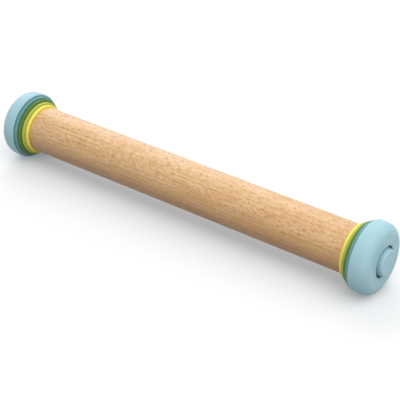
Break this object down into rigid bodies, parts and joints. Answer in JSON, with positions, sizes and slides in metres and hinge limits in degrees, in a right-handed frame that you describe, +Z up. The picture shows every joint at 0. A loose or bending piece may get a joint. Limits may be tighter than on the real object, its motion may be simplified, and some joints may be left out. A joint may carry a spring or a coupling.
{
  "type": "adjustable rolling pin",
  "caption": "Beech rolling pin with coloured thickness discs at each end, held on by a screw-in knob, for rolling dough to an even depth.",
  "frame": {"origin": "middle of the roller, on its axis", "axes": "+X along the roller towards the right end, which is the near end in the picture; +Z up; +Y away from the viewer"},
  "size_m": [0.4244, 0.065, 0.065],
  "materials": {
    "beech": "fine-grained, oiled",
    "sky_plastic": "satin moulding",
    "teal_plastic": "satin moulding",
    "green_plastic": "satin moulding",
    "lime_plastic": "satin moulding",
    "yellow_plastic": "satin moulding",
    "white_nylon": "plain moulding"
  },
  "bodies": {
    "pin": {"roller": "beech", "right_threaded_sleeve": "white_nylon", "left_threaded_sleeve": "white_nylon"},
    "right_washer": {"right_slip_washer": "white_nylon"},
    "right_knob": {"right_knob_screw": "sky_plastic", "right_knob_cap": "sky_plastic"},
    "right_yellow_disc": {"right_yellow_disc": "yellow_plastic"},
    "right_lime_disc": {"right_lime_disc": "lime_plastic"},
    "right_green_disc": {"right_green_disc": "green_plastic"},
    "right_teal_disc": {"right_teal_disc": "teal_plastic"},
    "right_sky_disc": {"right_sky_disc_shell": "sky_plastic", "right_sky_disc_back": "sky_plastic"},
    "left_washer": {"left_slip_washer": "white_nylon"},
    "left_knob": {"left_knob_screw": "sky_plastic", "left_knob_cap": "sky_plastic"},
    "left_yellow_disc": {"left_yellow_disc": "yellow_plastic"},
    "left_lime_disc": {"left_lime_disc": "lime_plastic"},
    "left_green_disc": {"left_green_disc": "green_plastic"},
    "left_teal_disc": {"left_teal_disc": "teal_plastic"},
    "left_sky_disc": {"left_sky_disc_shell": "sky_plastic", "left_sky_disc_back": "sky_plastic"}
  },
  "joints": [
    {"name": "right_knob_travel", "type": "slide", "parent": "pin", "child": "right_washer", "axis": [1, 0, 0], "range_m": [0, 0.024]},
    {"name": "right_knob_turn", "type": "hinge", "parent": "right_washer", "child": "right_knob", "pos_m": [0.2038, 0, 0], "axis": [1, 0, 0], "range_deg": [0, 2160]},
    {"name": "right_yellow_disc_slide", "type": "slide", "parent": "pin", "child": "right_yellow_disc", "axis": [1, 0, 0], "range_m": [0, 0.004]},
    {"name": "right_lime_disc_slide", "type": "slide", "parent": "pin", "child": "right_lime_disc", "axis": [1, 0, 0], "range_m": [0, 0.008]},
    {"name": "right_green_disc_slide", "type": "slide", "parent": "pin", "child": "right_green_disc", "axis": [1, 0, 0], "range_m": [0, 0.012]},
    {"name": "right_teal_disc_slide", "type": "slide", "parent": "pin", "child": "right_teal_disc", "axis": [1, 0, 0], "range_m": [0, 0.016]},
    {"name": "right_sky_disc_slide", "type": "slide", "parent": "pin", "child": "right_sky_disc", "axis": [1, 0, 0], "range_m": [0, 0.02]},
    {"name": "left_knob_travel", "type": "slide", "parent": "pin", "child": "left_washer", "axis": [-1, 0, 0], "range_m": [0, 0.024]},
    {"name": "left_knob_turn", "type": "hinge", "parent": "left_washer", "child": "left_knob", "pos_m": [-0.2038, 0, 0], "axis": [-1, 0, 0], "range_deg": [0, 2160]},
    {"name": "left_yellow_disc_slide", "type": "slide", "parent": "pin", "child": "left_yellow_disc", "axis": [-1, 0, 0], "range_m": [0, 0.004]},
    {"name": "left_lime_disc_slide", "type": "slide", "parent": "pin", "child": "left_lime_disc", "axis": [-1, 0, 0], "range_m": [0, 0.008]},
    {"name": "left_green_disc_slide", "type": "slide", "parent": "pin", "child": "left_green_disc", "axis": [-1, 0, 0], "range_m": [0, 0.012]},
    {"name": "left_teal_disc_slide", "type": "slide", "parent": "pin", "child": "left_teal_disc", "axis": [-1, 0, 0], "range_m": [0, 0.016]},
    {"name": "left_sky_disc_slide", "type": "slide", "parent": "pin", "child": "left_sky_disc", "axis": [-1, 0, 0], "range_m": [0, 0.02]}
  ],
  "couplings": [
    {"joint": "right_knob_turn", "follows": "right_knob_travel", "rad_per_m": 1570.8},
    {"joint": "right_yellow_disc_slide", "follows": "right_knob_travel", "ratio": 0.16667},
    {"joint": "right_lime_disc_slide", "follows": "right_knob_travel", "ratio": 0.33333},
    {"joint": "right_green_disc_slide", "follows": "right_knob_travel", "ratio": 0.5},
    {"joint": "right_teal_disc_slide", "follows": "right_knob_travel", "ratio": 0.66667},
    {"joint": "right_sky_disc_slide", "follows": "right_knob_travel", "ratio": 0.83333},
    {"joint": "left_knob_turn", "follows": "left_knob_travel", "rad_per_m": 1570.8},
    {"joint": "left_yellow_disc_slide", "follows": "left_knob_travel", "ratio": 0.16667},
    {"joint": "left_lime_disc_slide", "follows": "left_knob_travel", "ratio": 0.33333},
    {"joint": "left_green_disc_slide", "follows": "left_knob_travel", "ratio": 0.5},
    {"joint": "left_teal_disc_slide", "follows": "left_knob_travel", "ratio": 0.66667},
    {"joint": "left_sky_disc_slide", "follows": "left_knob_travel", "ratio": 0.83333}
  ]
}
